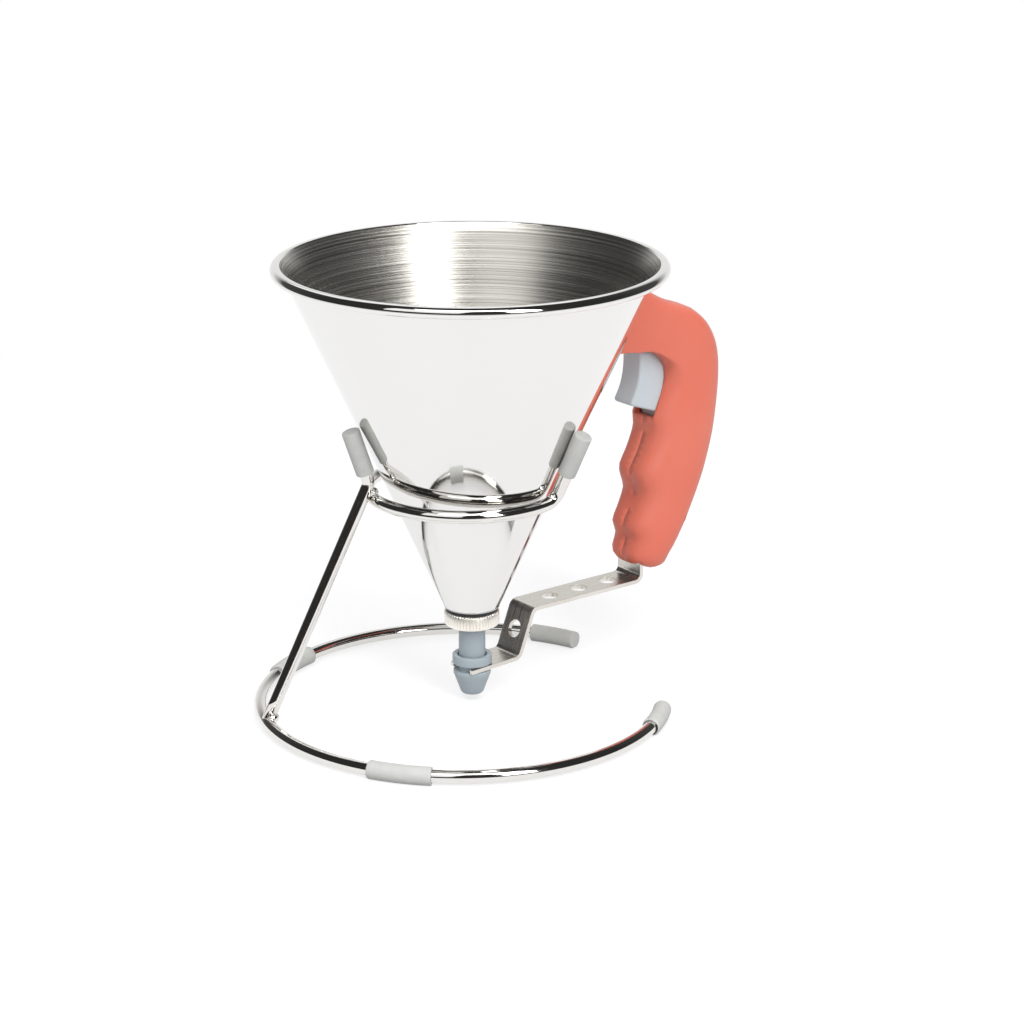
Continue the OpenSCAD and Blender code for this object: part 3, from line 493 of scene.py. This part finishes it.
rings = [z_low + up for up in RINGS_UP]
section = [(cone_radius(z), z) for z in (*rings, rim_mid - 5)]
# from the slit under the rolled edge, out and up to its top, and then the curl to the inside
section += arc(rim_radius / MM - ROLL, z_top - ROLL - 0.1, ROLL, -150, 236, 14)
section += arc(cone_radius(z_top) - wall + LIP_OUT, z_top - LIP, LIP, 92, 72, 5)
section += [(cone_radius(z) - wall, z) for z in (z_top - 1.6, rim_mid - 6, *reversed(rings))]
cone = spun(section)
for face in cone.faces:
    centre = face.calc_center_median()
    radius = math.hypot(centre.x - AXIS_X, centre.y - AXIS_Y)
    within = radius < (cone_radius(centre.z / MM) - wall / 2) * MM
    brushed = within and centre.z / MM < z_top - BRUSHED_BELOW_TOP
    face.material_index = 1 if brushed else 0
finish_piece(cone, "funnel_cone_spun", ["funnel_cone"], [polished_steel, brushed_inside],
             smooth_angle=50)

# %% [markdown]
# ## Outlet
# The threaded spigot is welded to the cone, and the knurled nut clamps the guide bushing in
# it. Turned parts whose shape is right in the model are copied and their edges are softened a
# little, so one function does both.

# %% Spigot
def softened(node, title, material, width_mm, angle=40, segments=2):
    """A copy of a node with its sharp edges softened, finished as a piece."""
    bm = merged_copy(node)
    count = soften(bm, width_mm, angle, segments) if width_mm else 0
    piece = finish_piece(bm, title, [node], [material])
    print("  softened edges:", count)
    return piece


softened("threaded_spigot", "spigot", plain_steel, 0.1)

# %% [markdown]
# ## Knurled nut
# The nut's grip is a knurl of fine upright grooves. The nut is spun with four columns of
# vertices to a ridge, and then one column in four is sunk into a groove, which takes one loop
# instead of a cutter for each groove. The nut is drawn a little lower than in the model, so
# that the dark ring of painted shade above it can be seen.

# %% Knurled nut
RIDGES = 52
COLUMNS = 4              # columns of vertices to a ridge
GROOVE = 0.5             # depth of a groove, mm
nut_low, nut_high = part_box("knurled_nut")
nut_radius = (nut_high.x - nut_low.x) / 2 / MM
nut_base, nut_top = nut_low.z / MM - 0.9, nut_high.z / MM - 0.7
nut_bore = 8.4
nut = spun([(nut_bore, nut_top), (nut_radius - 1.1, nut_top), (nut_radius - 0.3, nut_top - 0.5),
            (nut_radius, nut_top - 0.9), (nut_radius, nut_base + 0.7), (nut_radius - 0.3, nut_base + 0.3),
            (nut_radius - 0.8, nut_base), (nut_bore, nut_base)], steps=RIDGES * COLUMNS)
for vert in nut.verts:
    # one column of each ridge, on the outer wall only, sinks into the groove
    reach = Vector((vert.co.x - AXIS_X, vert.co.y - AXIS_Y))
    column = round(math.atan2(reach.y, reach.x) / math.tau * RIDGES * COLUMNS) % COLUMNS
    if reach.length > (nut_radius - 0.4) * MM and column == 0:
        shrunk = reach * (1 - GROOVE * MM / reach.length)
        vert.co.x, vert.co.y = AXIS_X + shrunk.x, AXIS_Y + shrunk.y
finish_piece(nut, "nut_with_knurl", ["knurled_nut"], [nickel_plate], smooth_angle=40)

# %% [markdown]
# ## Gasket and the valve's parts
# Between cone and nut there is a dark ring, which is shade on the narrow neck of the spigot. A
# short spun skirt of the gasket's black rubber, added to the copied gasket, paints that shade as a ring.

# %% Gasket with a ring of painted shade, bushing, nozzle, tube and seals
SHADE_RING_RADIUS = 10.1
shade_ring_bore, shade_ring_foot = nut_bore + 0.2, nut_top - 0.1
gasket_and_shade_ring = merged_copy("spigot_gasket")
soften(gasket_and_shade_ring, 0.08)
# a black ring between nut and cone that stands for the shade on the spigot's neck: painted shade
painted_shade_ring = spun([(shade_ring_bore, z_low + 0.9), (SHADE_RING_RADIUS - 0.2, z_low + 0.9), (SHADE_RING_RADIUS, z_low + 0.7),
               (SHADE_RING_RADIUS, shade_ring_foot), (shade_ring_bore, shade_ring_foot)], steps=96)
shade_ring_mesh = bpy.data.meshes.new("shade_ring_mesh")
painted_shade_ring.to_mesh(shade_ring_mesh)
painted_shade_ring.free()
gasket_and_shade_ring.from_mesh(shade_ring_mesh)
finish_piece(gasket_and_shade_ring, "gasket_and_shade_ring", ["spigot_gasket"], [nitrile])
softened("guide_bushing", "bushing", valve_plastic, 0.12)
softened("tube_o_ring", "o_ring", nitrile, 0)
softened("nozzle", "nozzle_moulded", valve_plastic, 0.35, angle=25, segments=3)
softened("valve_tube", "tube_moulded", valve_plastic, 0.15)
softened("valve_seal", "seal", silicone, 0.15)

# %% [markdown]
# ## Stand
# The wire pieces only need a smooth skin. Where a wire runs straight, the model has faces as
# long as the stretch, and cutting them up keeps the shine even. The rubber sleeves get rounded
# ends.

# %% Wires and sleeves
LONG_STRETCH = 6 * MM
for node in ("base_ring", "stand_leg", "support_ring"):
    wire = merged_copy(node)
    straight = [edge for edge in wire.edges if edge.calc_length() > LONG_STRETCH]
    bmesh.ops.subdivide_edges(wire, edges=straight, cuts=12, use_grid_fill=True)
    finish_piece(wire, node + "_wire", [node], [wire_steel], smooth_angle=50)
for node in ("base_sleeve_near", "base_sleeve_far"):
    softened(node, node + "_moulded", sleeve_rubber, 0.25, angle=50, segments=2)
for node in ("base_cap_near", "base_cap_far", "prong_sleeve_leg", "prong_sleeve_near", "prong_sleeve_far"):
    softened(node, node + "_moulded", sleeve_rubber, 0.6, angle=50, segments=4)

# %% [markdown]
# ## Welds
# The wires are spot-welded where they cross, and each weld squeezes out a small bead of metal.
# A bead is a small icosphere, pushed a little in and out by noise that is the same each run.

# %% Weld beads
def touching_point(one, other):
    """The middle between the two closest vertices of two nodes."""
    tree = KDTree(len(nodes[other].data.vertices))
    for vertex in nodes[other].data.vertices:
        tree.insert(vertex.co, vertex.index)
    tree.balance()
    best = min(((tree.find(vertex.co), vertex.co) for vertex in nodes[one].data.vertices),
               key=lambda pair: pair[0][2])
    return (best[0][0] + best[1]) / 2


LUMPINESS = 0.12         # share of the radius by which a bead goes in and out
LUMPS_PER_METRE = 900
SAG = 0.85               # height of a bead as a share of its width
beads = bmesh.new()
for place, size in ((touching_point("stand_leg", "base_ring"), 2.9),
                    (touching_point("stand_leg", "support_ring"), 2.2)):
    made = bmesh.ops.create_icosphere(beads, subdivisions=4, radius=size * MM)
    for vert in made["verts"]:
        vert.co *= 1 + LUMPINESS * noise.noise(vert.co * LUMPS_PER_METRE)
        vert.co.z *= SAG
        vert.co += place
    print("weld at", [round(v, 4) for v in place])
finish_piece(beads, "weld_beads", [], [wire_steel], body="stand")

# %% [markdown]
# ## Handle
# The handle is moulded in two half shells that meet in the middle plane and hide the welded
# bracket. The model's shells have flat sides, but a grip that fills the hand is rounder. Each
# side is crowned: it falls away towards the front and the back of the grip, and stays flat at
# the neck. For that the grip's own middle and depth are measured level by level first.

# %% Middle and depth of the grip
LEVEL = 4 * MM           # from one level to the next
WINDOW = 11 * MM         # half height of the slice that is measured at a level
shell_points = [vertex.co for name in ("handle_shell_near", "handle_shell_far")
                for vertex in nodes[name].data.vertices]
grip_low, grip_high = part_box("handle_shell_near")
levels = [grip_low.z + LEVEL * step for step in range(round((grip_high.z - grip_low.z) / LEVEL) + 1)]
grip_line = []
for level in levels:
    across = [point.x for point in shell_points if abs(point.z - level) < WINDOW]
    grip_line.append(((min(across) + max(across)) / 2, (max(across) - min(across)) / 2))
print("grip measured at", len(levels), "levels")

# %% Crown of the grip's sides
CROWN = 0.16             # share of its distance from the middle plane that a side loses at most
CORE = 6 * MM            # nothing moves as near as this to the middle plane
CORE_BLEND = 6 * MM      # the crown fades in over this much, from there outwards
NECK = 30 * MM           # nothing moves in this much of the handle, from its top down
NECK_BLEND = 24 * MM     # the crown fades in over this much, from there down


def held(value):
    """A value held between 0 and 1."""
    return min(1, max(0, value))


def faded(amount, share):
    """A share of an amount, with a smooth start and end."""
    return amount * share * share * (3 - 2 * share)


def crowned(co):
    """The y of a point after its side is crowned; the middle plane stays as it is."""
    # the last level is left out by a hair, so that there is always one above
    place = min(len(levels) - 1.001, max(0, (co.z - levels[0]) / LEVEL))
    below, share = int(place), place - int(place)
    grip_x = grip_line[below][0] * (1 - share) + grip_line[below + 1][0] * share
    depth = grip_line[below][1] * (1 - share) + grip_line[below + 1][1] * share
    away = co.y - AXIS_Y
    skin = held((abs(away) - CORE) / CORE_BLEND)
    grip = held((grip_high.z - NECK - co.z) / NECK_BLEND)
    along = held(abs(co.x - grip_x) / depth)
    fall = faded(faded(CROWN * along ** 2, skin), grip)
    return AXIS_Y + away * (1 - fall)


# %% [markdown]
# A crown needs vertices to bend, and a flat side has none in its middle. So the shells are cut
# into triangles, and their long edges are halved a few times. Bevel and cuts leave slivers
# behind, and dissolve_degenerate takes most of them out.

# %% Handle shells
LONG_EDGE = 4 * MM
ROUNDS = 3
SLIVER = 0.001 * MM
for node in ("handle_shell_near", "handle_shell_far"):
    shell = merged_copy(node)
    soften(shell, 0.2, 55, 2)
    bmesh.ops.triangulate(shell, faces=shell.faces[:])
    for _ in range(ROUNDS):
        wide = [edge for edge in shell.edges if edge.calc_length() > LONG_EDGE]
        bmesh.ops.subdivide_edges(shell, edges=wide, cuts=1)
        bmesh.ops.triangulate(shell, faces=[face for face in shell.faces if len(face.verts) > 3])
    for vert in shell.verts:
        vert.co.y = crowned(vert.co)
    bmesh.ops.dissolve_degenerate(shell, dist=SLIVER, edges=shell.edges[:])
    finish_piece(shell, node + "_moulded", [node], [handle_plastic], smooth_angle=40)

# %% [markdown]
# ## Inside the handle
# The bracket, the screws and the pin are copied. The spring joins two bodies: its first coil
# stays on the trigger and its last one in the shells. Its copy is given both bodies and the ends
# of its coil, but it rides on neither and stays where the model has it.

# %% Bracket, screws, pin and spring
softened("handle_bracket", "bracket", plain_steel, 0.15)
softened("handle_screws", "screws", plain_steel, 0.15)
softened("pivot_pin", "pin", plain_steel, 0.2)

coil_low, coil_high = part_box("return_spring")
coil_y, coil_z = (coil_low.y + coil_high.y) / 2, (coil_low.z + coil_high.z) / 2
finish_piece(merged_copy("return_spring"), "spring", ["return_spring"], [plain_steel],
             smooth_angle=60, between=("lever", "funnel", (coil_low.x, coil_y, coil_z),
                                       (coil_high.x, coil_y, coil_z)))

# %% [markdown]
# ## Trigger
# The trigger turns on a pin inside the neck. A finger pulls on it, so the whole outline of its
# two flat sides is rounded. A clamped bevel becomes as narrow as the shortest edge asks for,
# so this one isn't clamped, and the slivers that it leaves are dissolved.

# %% Trigger
TRIGGER_ROUND = 1.0 * MM
SHORTEST = 0.6 * MM      # shorter edges belong to the trigger's holes
FLAT_SIDE = 0.9          # a face that looks to the side at least this much is a flat side


def outline_edge(edge):
    """True for the edges round the trigger's two flat sides."""
    less, more = sorted(abs(face.normal.y) for face in edge.link_faces)
    return less < FLAT_SIDE < more and edge.calc_length() > SHORTEST


trigger = merged_copy("trigger")
outline = [edge for edge in trigger.edges if len(edge.link_faces) == 2 and outline_edge(edge)]
bmesh.ops.bevel(trigger, geom=outline, offset=TRIGGER_ROUND, offset_type="OFFSET", segments=5,
                profile=0.5, affect="EDGES", clamp_overlap=False, material=-1)
bmesh.ops.dissolve_degenerate(trigger, dist=2 * SLIVER, edges=trigger.edges[:])
print("trigger's outline", len(outline))
finish_piece(trigger, "trigger_moulded", ["trigger"], [trigger_plastic], smooth_angle=40)

# %% [markdown]
# ## Arm and rivets
# The bent steel arm is riveted to the trigger, and its fork holds the nozzle's collar, so a
# pull of the finger lifts the nozzle. Its edges are softened like the others. Weighted normals
# keep the strip's flats flat in their shine, so that only its bends are shaded round.

# %% Arm and rivets
arm = softened("actuating_arm", "arm", strip_steel, 0.2, angle=50, segments=2)
flats = arm.modifiers.new("flat_faces_lead", "WEIGHTED_NORMAL")
flats.mode = "FACE_AREA"
flats.weight = 80
flats.keep_sharp = True
softened("arm_rivets", "rivets", plain_steel, 0.15)

# %% [markdown]
# ## Floor, light and camera
# The floor is plain white. A share of its light comes from itself, only for what the camera
# and the mirrors see, so it stays white and still takes a soft shadow. Past a short way from
# the object it is white by itself, so that no edge shows. It is a strip that runs away from
# the camera, and what the steel sees beside it and in front of it is the room.

# %% Material of the floor
NEAR_GLOW = 0.64
floor_white, tree = new_material("studio_floor_white")
path = add_node(tree, "ShaderNodeLightPath")
seen = add_node(tree, "ShaderNodeMath", {
    0: path.outputs["Is Camera Ray"], 1: path.outputs["Is Glossy Ray"]}, operation="MAXIMUM")
seen = add_node(tree, "ShaderNodeMath", {
    0: seen.outputs[0], 1: path.outputs["Is Transmission Ray"]}, operation="MAXIMUM")
place = add_node(tree, "ShaderNodeTexCoord")
reach = add_node(tree, "ShaderNodeVectorMath", {0: place.outputs["Object"]}, operation="LENGTH")
far = add_node(tree, "ShaderNodeMapRange", {
    "Value": reach.outputs["Value"], "From Min": 0.25, "From Max": 0.6}, interpolation_type="SMOOTHSTEP")
matt = add_node(tree, "ShaderNodeBsdfDiffuse", {"Color": colour("#AAAAAB")})
near_glow = add_node(tree, "ShaderNodeMath", {0: seen.outputs[0], 1: NEAR_GLOW}, operation="MULTIPLY")
glow = add_node(tree, "ShaderNodeEmission", {
    "Color": (1, 1, 1, 1), "Strength": near_glow.outputs[0]})
near = add_node(tree, "ShaderNodeAddShader", {0: matt.outputs["BSDF"], 1: glow.outputs["Emission"]})
white = add_node(tree, "ShaderNodeEmission", {"Color": (1, 1, 1, 1), "Strength": seen.outputs[0]})
both = add_node(tree, "ShaderNodeMixShader", {
    0: far.outputs["Result"], 1: near.outputs["Shader"], 2: white.outputs["Emission"]})
add_node(tree, "ShaderNodeOutputMaterial", {"Surface": both.outputs["Shader"]})
print("made", floor_white.name)

# %% Floor
FLOOR_HALF = 3           # half of its length, m
FLOOR_NARROW = 0.27      # its width as a share of its length
FLOOR_AWAY = 2.64        # how far its middle lies behind the object
FLOOR_TURN = -0.664      # radians, so that it runs the way that the camera looks
bm = bmesh.new()
bmesh.ops.create_grid(bm, x_segments=1, y_segments=1, size=FLOOR_HALF)
bmesh.ops.scale(bm, verts=bm.verts, vec=(FLOOR_NARROW, 1, 1))
bmesh.ops.translate(bm, verts=bm.verts, vec=(0, FLOOR_AWAY, 0))
bmesh.ops.rotate(bm, verts=bm.verts, cent=(0, 0, 0), matrix=Matrix.Rotation(FLOOR_TURN, 3, "Z"))
mesh = bpy.data.meshes.new("floor")
bm.to_mesh(mesh)
bm.free()
mesh.materials.append(floor_white)
floor = bpy.data.objects.new("floor", mesh)
bpy.context.scene.collection.objects.link(floor)

# %% [markdown]
# ## The room that the steel reflects
# A polished piece has almost no look of its own: it shows the room. A product studio is white
# behind and beside the table and dark where the viewer stands, so the world is painted
# that way by direction, for mirror rays only. Matt pieces get one even, soft light instead.
# The side that the dark lies on is fixed in the room, so it stays put when one walks round.

# %% World
DARK_SIDE = (-0.5794, -0.7398, 0.3420)
STUDIO_WHITE = (0.95, 0.95, 0.94, 1)
world = bpy.data.worlds.new("studio")
bpy.context.scene.world = world
world.use_nodes = True
tree = world.node_tree
tree.nodes.clear()
path = add_node(tree, "ShaderNodeLightPath")
way = add_node(tree, "ShaderNodeTexCoord")
towards = add_node(tree, "ShaderNodeVectorMath", {0: way.outputs["Generated"], 1: DARK_SIDE},
                   operation="DOT_PRODUCT")
spread = add_node(tree, "ShaderNodeMapRange", {
    "Value": towards.outputs["Value"], "From Min": -1.0, "From Max": 1.0})
room = add_node(tree, "ShaderNodeValToRGB", {"Fac": spread.outputs["Result"]})
room.color_ramp.elements[0].position = 0.0
room.color_ramp.elements[0].color = STUDIO_WHITE
room.color_ramp.elements[1].position = 1.0
room.color_ramp.elements[1].color = (0.03, 0.028, 0.026, 1)
for position, value in ((0.11, 0.9), (0.16, 0.5), (0.21, 0.07), (0.5, 0.03)):
    stop = room.color_ramp.elements.new(position)
    stop.color = (value, value, value, 1)
heights = add_node(tree, "ShaderNodeSeparateXYZ", {"Vector": way.outputs["Generated"]})
ground = add_node(tree, "ShaderNodeMapRange", {
    "Value": heights.outputs["Z"], "From Min": -0.40, "From Max": -0.14, "To Min": 1.0, "To Max": 0.0})
room_and_ground = add_node(tree, "ShaderNodeMix", {
    "Factor": ground.outputs["Result"], 6: room.outputs["Color"], 7: STUDIO_WHITE}, data_type="RGBA")
mirror_light = add_node(tree, "ShaderNodeBackground", {"Color": room_and_ground.outputs[2], "Strength": 1.0})
soft_light = add_node(tree, "ShaderNodeBackground", {"Color": (0.97, 0.98, 1, 1), "Strength": 0.68})
white_back = add_node(tree, "ShaderNodeBackground", {"Color": (1, 1, 1, 1), "Strength": 1.0})
first = add_node(tree, "ShaderNodeMixShader", {
    0: path.outputs["Is Glossy Ray"], 1: soft_light.outputs[0], 2: mirror_light.outputs[0]})
second = add_node(tree, "ShaderNodeMixShader", {
    0: path.outputs["Is Camera Ray"], 1: first.outputs[0], 2: white_back.outputs[0]})
add_node(tree, "ShaderNodeOutputWorld", {"Surface": second.outputs[0]})

# %% [markdown]
# A tall soft box stands a little to the right of the viewer: it is the bright band inside the
# brushed cone. A wide fill from the left lights the grip's side and the wires, a lamp from
# above the outlet and the arm, and a weak one from behind the far rim.

# %% Lamps
def soft_box(name, azimuth, distance, height, tilt, size, watts):
    """A soft lamp round the object: it stands at an azimuth and leans down by a tilt, in degrees."""
    light = bpy.data.lights.new(name, "AREA")
    light.shape = "RECTANGLE"
    light.size, light.size_y = size
    light.energy = watts
    lamp = bpy.data.objects.new(name, light)
    turn, lean = math.radians(azimuth), math.radians(tilt)
    lamp.location = (distance * math.cos(turn), distance * math.sin(turn), height)
    aim = Vector((-math.cos(turn) * math.cos(lean), -math.sin(turn) * math.cos(lean), -math.sin(lean)))
    lamp.rotation_euler = aim.to_track_quat("-Z", "Y").to_euler()
    bpy.context.scene.collection.objects.link(lamp)
    return lamp


soft_box("key_light", azimuth=263, distance=1.5, height=1.35, tilt=15, size=(0.54, 1.8), watts=22)
soft_box("left_fill", azimuth=205, distance=1.5, height=1.35, tilt=25, size=(1.4, 1.5), watts=7.5)
soft_box("top_light", azimuth=222, distance=0.8, height=1.7, tilt=62, size=(1.1, 0.8), watts=7)
soft_box("back_light", azimuth=60, distance=1.6, height=1.4, tilt=30, size=(1.2, 0.8), watts=3)
print("lamps set")

# %% [markdown]
# The camera looks slightly down on the object from about a metre away.

# %% Camera
CAMERA_PLACE = (-0.6430, -0.8219, 0.41107)
CAMERA_WAY = (0.5867, 0.7493, -0.3070)
camera_data = bpy.data.cameras.new("camera")
camera_data.sensor_width = 36
camera_data.lens = 99.57
camera = bpy.data.objects.new("camera", camera_data)
camera.location = CAMERA_PLACE
camera.rotation_euler = Vector(CAMERA_WAY).to_track_quat("-Z", "Y").to_euler()
bpy.context.scene.collection.objects.link(camera)
bpy.context.scene.camera = camera
bpy.context.scene.view_settings.view_transform = "Standard"
